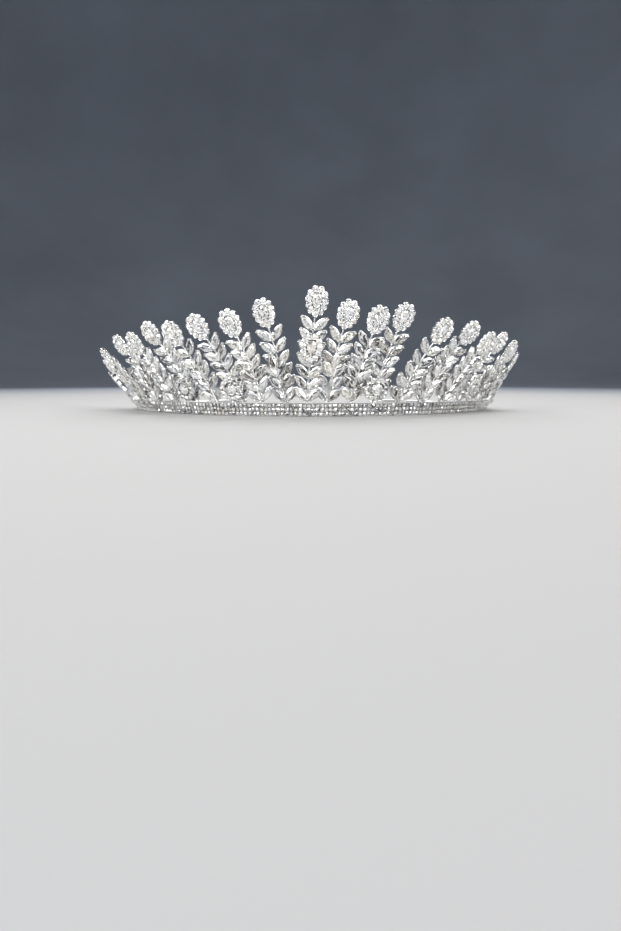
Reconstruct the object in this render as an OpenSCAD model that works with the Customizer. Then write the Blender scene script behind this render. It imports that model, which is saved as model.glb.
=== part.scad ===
// Bridal crown: a round wire hoop, a paved band that curves round its front, and branches of
// leaves that stand on the band in two rows and fan outwards. The tall ones end in a flower,
// and shorter sprays and rosettes fill the gaps between them.
// Lengths are in millimetres and angles in degrees. The front faces -Y and +X is to the viewer's
// right. The hoop and the band rest on z = 0, and the origin is the middle of the head opening.

/* [Hoop] */
// Outer diameter of the hoop, from temple to temple
hoop_d = 150; // [140:1:160]
// Thickness of the hoop's round wire
hoop_wire = 1.4; // [1.2:0.1:1.8]
// Angle from the front to each rounded end, at the open back
hoop_reach = 148; // [120:1:160]

/* [Band] */
// Clearance between the hoop and the back of the band
band_gap = 0.4; // [0.3:0.1:0.6]
// Height of the band along its slanted face
band_h = 5.4; // [5:0.1:6]
// Thickness of the band, square to its face
band_t = 2.8; // [2.8:0.1:3.2]
// Angle from the front to each end of the band
band_reach = 75; // [74:1:78]
// Outward slant of the band at the front
band_slant = 16; // [12:1:18]
// Slant that the band has gained at its ends
band_slant_gain = 20; // [10:1:22]

/* [End loops] */
// Length of the left loop, past the end of the band
loop_l_left = 19; // [14:0.5:20]
// Length of the right loop, past the end of the band
loop_l_right = 14; // [12:0.5:20]
// Outward slant of the loops
loop_slant = 47; // [42:1:50]
// Angle by which the loops turn inwards, along the hoop
loop_turn = 8; // [4:1:9]
// Thickness of a loop, square to its face
loop_t = 2; // [1.6:0.1:2.2]
// Radius of a loop's round tip
loop_tip_r = 3; // [2.8:0.1:3.1]
// Radius of the round end of a loop's slit
loop_slit_r = 0.9; // [0.6:0.1:1]

/* [Branches] */
// Width of a stem
stem_w = 0.7; // [0.7:0.05:1]
// Thickness of a branch, from its flat back to the rims of its cups
branch_t = 1; // [0.9:0.05:1]
// Depth of the cups that hold the stones
cup_depth = 0.5; // [0.4:0.05:0.6]
// Distance between the front and the back row of branches
row_pitch = 1.7; // [1.65:0.05:1.7]
// Length of a leaf
leaf_l = 6.3; // [5.8:0.1:6.4]
// Width of a leaf
leaf_w = 2.9; // [2.6:0.1:3]
// Angle between a leaf and its stem
leaf_angle = 45; // [40:1:50]
// Usual distance between two pairs of leaves
leaf_pitch = 4.2; // [4:0.1:4.6]
// Angle between a leaf and its stem on a short spray
spray_angle = 36; // [30:1:40]

/* [Flowers] */
// Stones round a flower
petal_count = 11; // [9:2:13]
// Diameter of a petal's cup
petal_d = 2.2; // [2.1:0.05:2.3]
// Width of a flower's oval of petals, between cup centres
flower_w = 5.5; // [5.4:0.1:5.8]
// Height of that oval
flower_h = 8; // [7.8:0.1:8.4]
// Width of the pear-shaped centre stone
pear_w = 2.8; // [2.5:0.1:2.8]
// Length of the pear-shaped centre stone
pear_l = 4.6; // [4.2:0.1:4.6]

/* [Rosettes] */
// Stones round a rosette
rosette_count = 12; // [11:1:13]
// Diameter of the ring of cup centres
rosette_ring = 7.2; // [7:0.1:7.4]
// Diameter of a rosette's centre stone
rosette_stone = 3.6; // [3.2:0.1:3.8]

/* [Hidden] */
$fn = 32;
wall = 0.35;              // metal left round a stone's cup
play = 0.1;               // clearance round a stone and under it
seat_gap = 0.1;           // clearance between a foot and the top of the band
chamfer = 0.2;            // on the long edges of the band
band_step = 2.5;          // angle between the cross-sections of the band
stone_rise = 0.3;         // height of a stone's girdle over the rim
table_rise = 0.2;         // height of its table over the girdle
table_ratio = 0.6;        // size of the table against the girdle
first_leaf = 0.6;         // height of the lowest leaves over the foot
flower_clear = 9.4;       // from a flower's middle down to the root of the top leaves
spray_clear = 2.4;        // from a spray's end leaf down to the root of the pair under it
stem_sweep = 0.045;       // sideways bow of a stem for each degree of lean
low_flower_at = 19.6;     // height of the centre branch's lower flower over the foot
low_flower_lift = 0.3;    // clearance between it and the leaves behind it
post_d = 1.2;             // diameter of the post that carries it
post_at = 20.9;           // height of that post over the foot, between two pairs of leaves
stem_root = 1;            // length of a stem below the middle of its foot, before it is cut level
stem_end = 4;             // from a flower's middle down to the end of the stem behind it
rosette_petal_d = 2;      // diameter of a rosette's cups
rosette_lift = 0.3;       // from the middle of a rosette's foot up to its lowest cup
loop_root = 1.5;          // length of a loop inside the band
loop_lift = 0.2;          // height of a loop's lowest edge over the hoop's plane
slit_start = 2.5;         // where the slit of a loop starts

hoop_r = hoop_d / 2;
band_r = hoop_r + band_gap;
rim_z = branch_t / 2;
floor_z = rim_z - cup_depth;

// Branches and sprays stand on the band. angle: place on it, plus to the viewer's right.
// slant: outward lean from upright. lean: sideways lean. length: foot to the flower's middle, or
// to the root of the end leaf. row: 1 front, -1 back. bare_l, bare_r: lowest leaves left off.
NAME = 0;
ANGLE = 1;
SLANT = 2;
LEAN = 3;
LENGTH = 4;
ROW = 5;
BARE_L = 6;
BARE_R = 7;
BRANCHES = [
    ["centre",     0, 16,   6, 34.5,  1, 0, 0],
    ["left_1",    -5, 15, -12, 31.5, -1, 0, 0],
    ["left_2",   -11, 16, -18, 29.0,  1, 0, 0],
    ["left_3",   -17, 15, -27, 30.0, -1, 0, 0],
    ["left_4",   -24, 18, -27, 28.0,  1, 0, 1],
    ["left_5",   -31, 17, -31, 30.0, -1, 0, 0],
    ["left_6",   -38, 22, -29, 26.0,  1, 0, 1],
    ["left_7",   -46, 21, -38, 29.0, -1, 0, 0],
    ["left_8",   -54, 29, -41, 26.0,  1, 0, 0],
    ["left_9",   -62, 34, -52, 27.0, -1, 1, 0],
    ["left_10",  -70, 38, -64, 24.5,  1, 1, 0],
    ["right_1",    5, 15,  12, 31.0, -1, 0, 0],
    ["right_2",   11, 17,  14, 29.5,  1, 0, 2],
    ["right_3",   17, 16,  15, 31.0, -1, 0, 0],
    ["right_4",   24, 20,  24, 28.5,  1, 0, 0],
    ["right_5",   31, 19,  32, 30.5, -1, 0, 0],
    ["right_6",   38, 24,  30, 26.5,  1, 0, 0],
    ["right_7",   46, 23,  32, 28.0, -1, 0, 0],
    ["right_8",   54, 26,  27, 24.0,  1, 2, 0],
    ["right_9",   62, 25,  35, 26.0, -1, 0, 0],
    ["right_10",  70, 27,  28, 20.0,  1, 0, 0],
];

// Short sprays of leaves in the gaps of each row, from the front outwards
SPRAYS = [
    ["left_1",    -5.6, 18.5, -10, 12,  1, 0, 0],
    ["left_2",   -11.5, 14, -15, 12, -1, 0, 0],
    ["left_3",   -24.5, 16, -23, 12, -1, 0, 0],
    ["left_4",   -38.5, 19, -31, 12, -1, 0, 0],
    ["left_5",   -46,   25, -35, 12,  1, 0, 0],
    ["left_6",   -54,   26, -38, 12, -1, 0, 0],
    ["right_1",    5.5, 19.5, 6, 12,  1, 2, 1],
    ["right_2",   11.5, 17,   6, 11.5, -1, 0, 0],
    ["right_3",   24,   18,  24, 12, -1, 0, 0],
    ["right_4",   31,   22,  24, 12,  1, 0, 0],
    ["right_5",   38.8, 21,  28, 11, -1, 0, 0],
    ["right_6",   54,   23,  32, 12, -1, 0, 0],
    ["right_7",   62,   28,  30, 12,  1, 0, 0],
];

// Rosettes, in the front row between the branches. Columns: name, angle, slant.
ROSETTES = [
    ["left_inner",  -19,   17],
    ["left_outer",  -33.5, 20],
    ["right_inner",  17.5, 18],
    ["right_outer",  50,   24],
];

// The stones, grouped by their place round the band. Columns: name, first angle, end angle.
FIRST = 1;
END = 2;
STONES = [
    ["far_left",  -90, -40],
    ["left",      -40,  -8],
    ["centre",     -8,   8],
    ["right",       8,  40],
    ["far_right",  40,  90],
];

// Outward slant of the band at an angle from the front
function slant(angle) = band_slant + band_slant_gain * pow(angle / band_reach, 2);

// Width of the band's level top and bottom, where it slants by s
function band_level(s) = band_t / cos(s);

// Corners of the band's cross-section as [radius, height], from the inner bottom one outwards
function band_corners(s) = let (
    up = [band_h * sin(s), band_h * cos(s)],
    inner = [band_r, 0],
    outer = [band_r + band_level(s), 0]
) [inner, outer, outer + up, inner + up];

function toward(a, b, d) = a + (b - a) * d / norm(b - a);

// An outline with each corner cut off at d
function chamfered(p, d) = let (n = len(p)) [
    for (i = [0:n - 1], j = [n - 1, 1]) toward(p[i], p[(i + j) % n], d)
];

// A point of a cross-section, turned to its angle from the front
function around(angle, p) = [p[0] * sin(angle), -p[0] * cos(angle), p[1]];

// Centre of the foot of a branch, as [radius, height]
function foot(angle, row) = let (s = slant(angle)) [
    band_r + band_level(s) / 2 + row * row_pitch / 2 / cos(s) + band_h * sin(s),
    band_h * cos(s)
];

// Sideways place of a stem at height h above its foot
function bow(b, h) = -b[LEAN] * stem_sweep * 4 * h / b[LENGTH] * (1 - h / b[LENGTH]);

// Its tilt there, from straight up to the viewer's right
function tilt(b, h) = atan(-b[LEAN] * stem_sweep * 4 / b[LENGTH] * (1 - 2 * h / b[LENGTH]));

// Heights of the roots of n + 1 pairs of leaves, from the lowest up to the top one
function roots(top) = let (
    n = round((top - first_leaf) / leaf_pitch)
) [for (i = [0:n]) first_leaf + (top - first_leaf) * i / n];

// Centre of petal i, counted from the stem. The correction spaces them evenly round the oval.
function petal(i) = let (
    even = i * 360 / petal_count,
    a = even + 5 * sin(2 * even)
) [flower_w / 2 * sin(a) * (1 - 0.1 * cos(a)), -flower_h / 2 * cos(a)];

// Outline of a pear-shaped stone with its tip at the bottom
function pear(w, l) = [
    for (a = [0:15:345]) [0.65 * w * sin(a) * sin(a / 2), -l / 2 * cos(a)]
];

module hoop_wire_end(side) {
    rotate([0, 0, side * hoop_reach])
        translate([0, hoop_wire / 2 - hoop_r, hoop_wire / 2])
            sphere(d = hoop_wire);
}

module hoop() {
    color("gainsboro") {
        rotate([0, 0, -90 - hoop_reach])
            rotate_extrude(angle = 2 * hoop_reach)
                translate([hoop_r - hoop_wire / 2, hoop_wire / 2])
                    circle(d = hoop_wire);
        hoop_wire_end(-1);
        hoop_wire_end(1);
    }
}

// The slanted strip, with a level bottom and top
module band_strip() {
    steps = round(2 * band_reach / band_step);
    rings = [
        for (i = [0:steps])
            let (angle = -band_reach + 2 * band_reach * i / steps)
                [for (p = chamfered(band_corners(slant(angle)), chamfer)) around(angle, p)]
    ];
    n = len(rings[0]);
    sides = [
        for (i = [0:steps - 1], j = [0:n - 1])
            [i * n + j, i * n + (j + 1) % n, (i + 1) * n + (j + 1) % n, (i + 1) * n + j]
    ];
    start = [for (j = [n - 1:-1:0]) j];
    end = [for (j = [0:n - 1]) steps * n + j];
    polyhedron([for (r = rings, p = r) p], concat(sides, [start, end]), convexity = 6);
}

// Outline of an end loop of length l: x runs away from the front, y up the slant
module loop_outline(l) {
    tip_x = l - loop_tip_r;
    mid_y = loop_tip_r + loop_t / 2 * tan(loop_slant) + loop_lift;
    difference() {
        union() {
            translate([-loop_root, mid_y - loop_tip_r])
                square([tip_x + loop_root, 2 * loop_tip_r]);
            translate([tip_x, mid_y])
                circle(loop_tip_r);
        }
        translate([tip_x, mid_y])
            circle(loop_slit_r);
        polygon([
            [slit_start, mid_y],
            [tip_x, mid_y - loop_slit_r],
            [tip_x, mid_y + loop_slit_r],
        ]);
    }
}

module end_loop(side, l) {
    rotate([0, 0, side * band_reach])
        translate([0, -band_r - loop_t / cos(loop_slant) / 2, 0])
            rotate([0, 0, side * loop_turn])
                rotate([90 + loop_slant, 0, 0])
                    mirror([side < 0 ? 1 : 0, 0, 0])
                        translate([0, 0, -loop_t / 2])
                            linear_extrude(loop_t)
                                loop_outline(l);
}

module band() {
    color("silver") {
        band_strip();
        end_loop(-1, loop_l_left);
        end_loop(1, loop_l_right);
    }
}

// A pointed leaf shape of two arcs, taken in by inset all round
module lens(inset) {
    r = (leaf_l * leaf_l + leaf_w * leaf_w) / (4 * leaf_w);
    intersection() {
        translate([r - leaf_w / 2, 0])
            circle(r - inset);
        translate([leaf_w / 2 - r, 0])
            circle(r - inset);
    }
}

// Children at the middle of each leaf of a branch's pairs, pointing up the leaf
module at_pairs(b, top, angle) {
    heights = roots(top);
    for (i = [0:len(heights) - 1], side = [-1, 1])
        if (i >= (side < 0 ? b[BARE_L] : b[BARE_R]))
            translate([bow(b, heights[i]), heights[i]])
                rotate(-tilt(b, heights[i]) - side * angle)
                    translate([0, leaf_l / 2])
                        children();
}

module at_branch_leaves(b) {
    at_pairs(b, b[LENGTH] - flower_clear, leaf_angle)
        children();
}

module at_spray_leaves(b) {
    at_pairs(b, b[LENGTH] - spray_clear, spray_angle)
        children();
    at_top(b)
        translate([0, leaf_l / 2])
            children();
}

module stem_outline(b, top) {
    heights = [for (h = [-stem_root:1:top]) h];
    right = [for (h = heights) [bow(b, h) + stem_w / 2, h]];
    left = [for (i = [len(heights) - 1:-1:0]) [bow(b, heights[i]) - stem_w / 2, heights[i]]];
    polygon(concat(right, left));
}

module flower_outline() {
    polygon([for (i = [0:petal_count - 1]) petal(i)]);
    for (i = [0:petal_count - 1])
        translate(petal(i))
            circle(d = petal_d);
}

module flower_pockets() {
    polygon(pear(pear_w + 2 * play, pear_l + 2 * play));
    for (i = [0:petal_count - 1])
        translate(petal(i))
            circle(d = petal_d - 2 * wall);
}

module rosette_outline() {
    circle(d = rosette_ring);
    for (i = [0:rosette_count - 1])
        rotate(i * 360 / rosette_count)
            translate([0, rosette_ring / 2])
                circle(d = rosette_petal_d);
}

module rosette_pockets() {
    circle(d = rosette_stone + 2 * play);
    for (i = [0:rosette_count - 1])
        rotate(i * 360 / rosette_count)
            translate([0, rosette_ring / 2])
                circle(d = rosette_petal_d - 2 * wall);
}

// Child 0 as a plate of the branch's thickness, with the cups of child 1 cut into its front
module plate() {
    difference() {
        translate([0, 0, -rim_z])
            linear_extrude(branch_t)
                children(0);
        translate([0, 0, floor_z])
            linear_extrude(branch_t)
                children(1);
    }
}

// A stone over the cup floor: a girdle with a smaller table on it
module stone() {
    translate([0, 0, floor_z + play])
        linear_extrude(rim_z + stone_rise - floor_z - play)
            children();
    translate([0, 0, rim_z + stone_rise])
        linear_extrude(table_rise)
            scale(table_ratio)
                children();
}

// Children moved from a branch's own plane to its place on the band
module placed(angle, slant, lean, row) {
    f = foot(angle, row);
    rotate([0, 0, angle])
        translate([0, -f[0], f[1]])
            rotate([90 + slant, 0, 0])
                rotate([0, 0, -lean])
                    children();
}

// Children without what lies below the level top of the band at a foot
module seated(angle, row) {
    f = foot(angle, row);
    size = 12;
    difference() {
        children();
        rotate([0, 0, angle])
            translate([-size / 2, -f[0] - size / 2, f[1] + seat_gap - size])
                cube(size);
    }
}

// Children at the top of a stem
module at_top(b) {
    translate([bow(b, b[LENGTH]), b[LENGTH]])
        rotate(-tilt(b, b[LENGTH]))
            children();
}

// Plane of the centre branch's lower flower, in front of the leaves
module at_low_flower(b) {
    lift = branch_t + stone_rise + table_rise + low_flower_lift;
    translate([bow(b, low_flower_at), low_flower_at, lift])
        rotate(-tilt(b, low_flower_at))
            children();
}

module branch_plate(b) {
    plate() {
        union() {
            stem_outline(b, b[LENGTH] - stem_end);
            at_branch_leaves(b)
                lens(0);
            at_top(b)
                flower_outline();
        }
        union() {
            at_branch_leaves(b)
                lens(wall);
            at_top(b)
                flower_pockets();
        }
    }
}

module low_flower(b) {
    at_low_flower(b)
        plate() {
            flower_outline();
            flower_pockets();
        }
    translate([bow(b, post_at), post_at, 0])
        cylinder(d = post_d, h = branch_t + stone_rise + table_rise);
}

module branch(b) {
    color("silver")
        seated(b[ANGLE], b[ROW])
            placed(b[ANGLE], b[SLANT], b[LEAN], b[ROW]) {
                branch_plate(b);
                if (b[NAME] == "centre")
                    low_flower(b);
            }
}

module spray(b) {
    color("silver")
        seated(b[ANGLE], b[ROW])
            placed(b[ANGLE], b[SLANT], b[LEAN], b[ROW])
                plate() {
                    union() {
                        stem_outline(b, b[LENGTH]);
                        at_spray_leaves(b)
                            lens(0);
                    }
                    at_spray_leaves(b)
                        lens(wall);
                }
}

module leaf_stone() {
    stone()
        lens(wall + play);
}

module pear_stone() {
    stone()
        polygon(pear(pear_w, pear_l));
}

module branch_stones(b) {
    placed(b[ANGLE], b[SLANT], b[LEAN], b[ROW]) {
        at_branch_leaves(b)
            leaf_stone();
        at_top(b)
            pear_stone();
        if (b[NAME] == "centre")
            at_low_flower(b)
                pear_stone();
    }
}

module spray_stones(b) {
    placed(b[ANGLE], b[SLANT], b[LEAN], b[ROW])
        at_spray_leaves(b)
            leaf_stone();
}

module stones(g) {
    color("white") {
        for (b = BRANCHES)
            if (b[ANGLE] >= g[FIRST] && b[ANGLE] < g[END])
                branch_stones(b);
        for (b = SPRAYS)
            if (b[ANGLE] >= g[FIRST] && b[ANGLE] < g[END])
                spray_stones(b);
    }
}

module rosette(r) {
    rise = (rosette_ring + rosette_petal_d) / 2 + rosette_lift;
    color("silver")
        seated(r[ANGLE], 1)
            placed(r[ANGLE], r[SLANT], 0, 1)
                plate() {
                    union() {
                        translate([-stem_w, -stem_root])
                            square([2 * stem_w, rise]);
                        translate([0, rise])
                            rosette_outline();
                    }
                    translate([0, rise])
                        rosette_pockets();
                }
}

hoop();
band();
for (b = BRANCHES) {
    branch(b);
}
for (b = SPRAYS) {
    spray(b);
}
for (r = ROSETTES) {
    rosette(r);
}
for (g = STONES) {
    stones(g);
}
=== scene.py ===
import random
from math import asin, atan, atan2, ceil, cos, pi, radians, sin, tan

import bmesh
import bpy
from bmesh.types import BMEdge, BMFace, BMVert
from mathutils import Matrix, Vector


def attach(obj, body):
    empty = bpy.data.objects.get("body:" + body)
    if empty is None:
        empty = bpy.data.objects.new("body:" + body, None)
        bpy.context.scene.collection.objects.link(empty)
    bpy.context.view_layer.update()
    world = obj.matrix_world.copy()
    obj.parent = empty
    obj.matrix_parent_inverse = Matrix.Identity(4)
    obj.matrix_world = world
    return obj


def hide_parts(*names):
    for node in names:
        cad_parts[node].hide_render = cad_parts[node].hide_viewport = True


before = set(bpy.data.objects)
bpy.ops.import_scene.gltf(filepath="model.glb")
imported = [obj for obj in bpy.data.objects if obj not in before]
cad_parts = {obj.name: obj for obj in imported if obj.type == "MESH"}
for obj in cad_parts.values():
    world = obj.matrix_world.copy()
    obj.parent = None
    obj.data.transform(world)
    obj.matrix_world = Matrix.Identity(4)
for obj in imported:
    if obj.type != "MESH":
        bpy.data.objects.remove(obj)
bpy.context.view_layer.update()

bl_info = {
    "name": "Bridal tiara",
    "version": (1, 0, 0),
    "blender": (4, 5, 0),
    "location": "View3D > Sidebar > Tiara",
    "description": "Builds a bridal tiara of leafy branches, flowers and rosettes on a paved band",
    "category": "Object",
}

MM = 0.001
BODY = "root"
METAL = "plated_metal"
STONE = "clear_stone"
SEED = 7

# Branches and sprays: name, place round the band in degrees (plus to the viewer's right), outward
# slant, sideways lean, length, row (1 front, -1 back) and, where any are, the lowest leaves left
# off at the left and at the right
BRANCHES = [
    ("centre",     0, 16,   6, 34.5,  1),
    ("left_1",    -5, 15, -12, 31.5, -1),
    ("left_2",   -11, 16, -18, 29.0,  1),
    ("left_3",   -17, 15, -27, 30.0, -1),
    ("left_4",   -24, 18, -27, 28.0,  1, 0, 1),
    ("left_5",   -31, 17, -31, 30.0, -1),
    ("left_6",   -38, 22, -29, 26.0,  1, 0, 1),
    ("left_7",   -46, 21, -38, 29.0, -1),
    ("left_8",   -54, 29, -41, 26.0,  1),
    ("left_9",   -62, 34, -52, 27.0, -1, 1, 0),
    ("left_10",  -70, 38, -64, 24.5,  1, 1, 0),
    ("right_1",    5, 15,  12, 31.0, -1),
    ("right_2",   11, 17,  14, 29.5,  1, 0, 2),
    ("right_3",   17, 16,  15, 31.0, -1),
    ("right_4",   24, 20,  24, 28.5,  1),
    ("right_5",   31, 19,  32, 30.5, -1),
    ("right_6",   38, 24,  30, 26.5,  1),
    ("right_7",   46, 23,  32, 28.0, -1),
    ("right_8",   54, 26,  27, 24.0,  1, 2, 0),
    ("right_9",   62, 25,  35, 26.0, -1),
    ("right_10",  70, 27,  28, 20.0,  1),
]
SPRAYS = [
    ("left_1",    -5.6, 18.5, -10, 12,  1),
    ("left_2",   -11.5, 14,   -15, 12, -1),
    ("left_3",   -24.5, 16,   -23, 12, -1),
    ("left_4",   -38.5, 19,   -31, 12, -1),
    ("left_5",   -46,   25,   -35, 12,  1),
    ("left_6",   -54,   26,   -38, 12, -1),
    ("right_1",    5.5, 19.5,   6, 12,  1, 2, 1),
    ("right_2",   11.5, 17,     6, 11.5, -1),
    ("right_3",   24,   18,    24, 12, -1),
    ("right_4",   31,   22,    24, 12,  1),
    ("right_5",   38.8, 21,    28, 11, -1),
    ("right_6",   54,   23,    32, 12, -1),
    ("right_7",   62,   28,    30, 12,  1),
]
# Rosettes: name, place round the band, outward slant
ROSETTES = [
    ("left_inner", -19, 17),
    ("left_outer", -33.5, 20),
    ("right_inner", 17.5, 18),
    ("right_outer", 50, 24),
]
# Groups of stones round the band: name, first and end angle
STONE_GROUPS = [
    ("far_left", -90, -40),
    ("left", -40, -8),
    ("centre", -8, 8),
    ("right", 8, 40),
    ("far_right", 40, 90),
]


def length(name, description, value):
    """A length property, given in millimetres."""
    return bpy.props.FloatProperty(
        name=name, description=description, default=value * MM,
        unit="LENGTH", subtype="DISTANCE", precision=5)


def degrees(name, description, value):
    return bpy.props.FloatProperty(
        name=name, description=description, default=radians(value), subtype="ANGLE")


def number(name, description, value, least):
    return bpy.props.IntProperty(name=name, description=description, default=value, min=least)


def colour(name, description, value):
    return bpy.props.FloatVectorProperty(
        name=name, description=description, default=value, size=3, min=0, max=1, subtype="COLOR")


class BandSizes(bpy.types.PropertyGroup):
    hoop_d: length("Hoop", "Outer diameter of the hoop", 150)
    hoop_wire: length("Hoop wire", "Thickness of the hoop's wire", 1.4)
    hoop_reach: degrees("Hoop reach", "Angle from the front to each end of the hoop", 148)
    gap: length("Gap", "Clearance between the hoop and the band", 0.4)
    height: length("Height", "Height of the band along its face", 5.4)
    thickness: length("Thickness", "Thickness of the band, square to its face", 2.8)
    reach: degrees("Reach", "Angle from the front to each end of the band", 75)
    slant: degrees("Slant", "Outward slant at the front", 16)
    slant_gain: degrees("Slant gain", "Slant gained at the ends", 20)
    rail: length("Rail", "Width of the polished rails along the band", 0.42)
    recess: length("Recess", "Depth of the paved field behind the rails", 0.3)
    rows: number("Rows", "Rows of stones", 3, 1)
    loop_left: length("Left loop", "Length of the left end loop", 19)
    loop_right: length("Right loop", "Length of the right end loop", 14)
    loop_slant: degrees("Loop slant", "Outward slant of the end loops", 47)
    loop_turn: degrees("Loop turn", "Turn of the end loops along the hoop", 8)
    loop_t: length("Loop thickness", "Thickness of an end loop", 2)
    loop_tip: length("Loop tip", "Outer radius of a loop's round tip", 3)
    loop_slit: length("Loop slit", "Radius of the round end of its slit", 0.9)
    loop_stone: length("Loop stone", "Diameter of the stones on the loops", 1.5)


class BranchSizes(bpy.types.PropertyGroup):
    stem_d: length("Stem", "Diameter of a stem", 0.7)
    row_pitch: length("Row pitch", "Distance between the two rows", 1.7)
    leaf_l: length("Leaf length", "Length of a leaf", 6.3)
    leaf_w: length("Leaf width", "Width of a leaf", 2.9)
    leaf_angle: degrees("Leaf angle", "Angle between a leaf and its stem", 45)
    spray_angle: degrees("Spray angle", "The same on a short spray", 36)
    leaf_pitch: length("Leaf pitch", "Usual distance between pairs of leaves", 4.2)
    wall: length("Wall", "Metal round a stone", 0.28)


class FlowerSizes(bpy.types.PropertyGroup):
    petals: number("Petals", "Stones round a flower", 11, 5)
    petal_d: length("Petal", "Diameter of a petal's cup", 2.2)
    width: length("Width", "Width of the oval of petals", 5.5)
    height: length("Height", "Height of the oval of petals", 8)
    pear_w: length("Pear width", "Width of the pear-shaped stone", 2.8)
    pear_l: length("Pear length", "Length of the pear-shaped stone", 4.6)
    rosette_petals: number("Rosette petals", "Stones round a rosette", 12, 5)
    rosette_petal_d: length("Rosette petal", "Diameter of a rosette's cup", 2)
    rosette_ring: length("Rosette ring", "Diameter of its ring of cups", 7.2)
    rosette_stone: length("Rosette stone", "Diameter of its centre stone", 3.6)


class Finishes(bpy.types.PropertyGroup):
    metal: colour("Metal", "Colour of the polished plating", (0.88, 0.875, 0.86))
    # the recess colour is painted shade: plating darkened where shade falls in the hollows, cups and windows
    recess: colour("Recess", "Colour of the plating in the recesses", (0.16, 0.163, 0.17))
    stone: colour("Stone", "Colour of the stones", (1.0, 0.99, 0.965))
    warm: colour("Warm stone", "Warm tint that some stones lean to", (1.0, 0.94, 0.80))
    cool: colour("Cool stone", "Cool tint that some stones lean to", (0.84, 0.91, 1.0))
    polish: bpy.props.FloatProperty(
        name="Roughness", description="Roughness of the plating", default=0.13, min=0, max=1,
        subtype="FACTOR")
    floor: colour("Floor", "Colour of the pale floor", (0.52, 0.515, 0.51))
    backdrop: colour("Backdrop", "Colour of the backdrop", (0.42, 0.46, 0.53))


class Millimetres:
    """Reads a group's lengths in millimetres and leaves its other values as they are."""

    def __init__(self, group):
        self.group = group

    def __getattr__(self, name):
        value = getattr(self.group, name)
        prop = self.group.bl_rna.properties[name]
        return value / MM if prop.unit == "LENGTH" else value


def sizes(context):
    """The sizes of the band, the branches and the flowers, in millimetres."""
    scene = context.scene
    return Millimetres(scene.tiara_band), Millimetres(scene.tiara_branch), Millimetres(scene.tiara_flower)


# Places


def moved(x=0.0, y=0.0, z=0.0):
    return Matrix.Translation((x, y, z))


def turned(angle, axis="Z"):
    return Matrix.Rotation(angle, 4, axis)


def lifted(place, z):
    return place @ moved(z=z)


def turns(count, start=0.0):
    """Even angles round a circle. start is the share of a step at which they begin."""
    return [2 * pi * (i + start) / count for i in range(count)]


def slant_at(band, angle):
    """The band's outward slant at an angle from the front."""
    return band.slant + band.slant_gain * (angle / band.reach) ** 2


def band_radius(band):
    """Radius of the band's inner lower edge."""
    return band.hoop_d / 2 + band.gap


def around(angle, radius, z):
    """The point at an angle from the front."""
    return Vector((radius * sin(angle), -radius * cos(angle), z))


def band_frame(band, angle, height, rise):
    """A place on the band's face: local X runs along the band, Y up its slant, Z out of it."""
    s = slant_at(band, angle)
    radius = band_radius(band) + band.thickness / cos(s) + height * sin(s) + rise * cos(s)
    foot = around(angle, radius, height * cos(s) - rise * sin(s))
    return moved(*foot) @ turned(angle) @ turned(pi / 2 + s, "X")


def stand(kit, angle, slant, lean, row):
    """From a branch's own plane, with Y up the stem and Z out of its face, to its place: its foot
    is on the band's level top, in front of the middle or behind it."""
    band = kit.band
    s = slant_at(band, angle)
    radius = band_radius(band) + band.thickness / cos(s) / 2
    radius += row * kit.branch.row_pitch / 2 / cos(s) + band.height * sin(s)
    foot = turned(angle) @ moved(0, -radius, band.height * cos(s))
    return foot @ turned(pi / 2 + slant, "X") @ turned(-lean)


class Branch:
    """One row of BRANCHES or SPRAYS, with the places of what it carries in its own plane."""

    SWEEP = 0.045  # sideways bow for each degree of lean
    FIRST_LEAF = 0.6  # height of the lowest leaves
    FLOWER_CLEAR = 9.4  # from a flower's middle down to the root of its top leaves
    SPRAY_CLEAR = 2.4  # from the end leaf's root down to the top pair's
    LOW_FLOWER_AT = 19.6  # height of the centre branch's second flower
    LOW_FLOWER_LIFT = 1.8  # how far that flower stands in front of its stem

    def __init__(self, row, kind):
        name, angle, slant, self.lean, self.length, self.row, *bare = row
        self.node = f"{kind}_{name}"
        self.angle = radians(angle)
        self.slant = radians(slant)
        self.spray = kind == "spray"
        self.bare = bare or (0, 0)

    def stand(self, kit):
        return stand(kit, self.angle, self.slant, radians(self.lean), self.row)

    def bow(self, h):
        """How far the stem has swung sideways at a height."""
        return -self.lean * self.SWEEP * 4 * h / self.length * (1 - h / self.length)

    def tilt(self, h):
        """The stem's own lean at a height."""
        return atan(-self.lean * self.SWEEP * 4 / self.length * (1 - 2 * h / self.length))

    def at(self, h, turn=0.0):
        """A place on the stem, with Y along it or turned from it."""
        return moved(self.bow(h), h) @ turned(turn - self.tilt(h))

    def leaves(self, sizes):
        """Places of the leaves' roots, each with Y along its leaf."""
        top = self.length - (self.SPRAY_CLEAR if self.spray else self.FLOWER_CLEAR)
        angle = sizes.spray_angle if self.spray else sizes.leaf_angle
        pairs = round((top - self.FIRST_LEAF) / sizes.leaf_pitch)
        places = []
        for i in range(pairs + 1):
            h = self.FIRST_LEAF + (top - self.FIRST_LEAF) * i / pairs
            for side, bare in zip((-1, 1), self.bare):
                if i >= bare:
                    places.append(self.at(h, -side * angle))
        if self.spray:
            places.append(self.at(self.length))
        return places

    def flowers(self):
        """Places of the middles of its flowers."""
        if self.spray:
            return []
        places = [self.at(self.length)]
        if self.node == "branch_centre":
            places.append(moved(z=self.LOW_FLOWER_LIFT) @ self.at(self.LOW_FLOWER_AT))
        return places


def all_branches():
    return [Branch(row, "branch") for row in BRANCHES] + [Branch(row, "spray") for row in SPRAYS]


PETAL_SHIFT = radians(5)  # most that a petal moves round, to even out the gaps of the oval
PETAL_TAPER = 0.1  # share by which the oval is narrower near its stem and wider at its top


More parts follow.
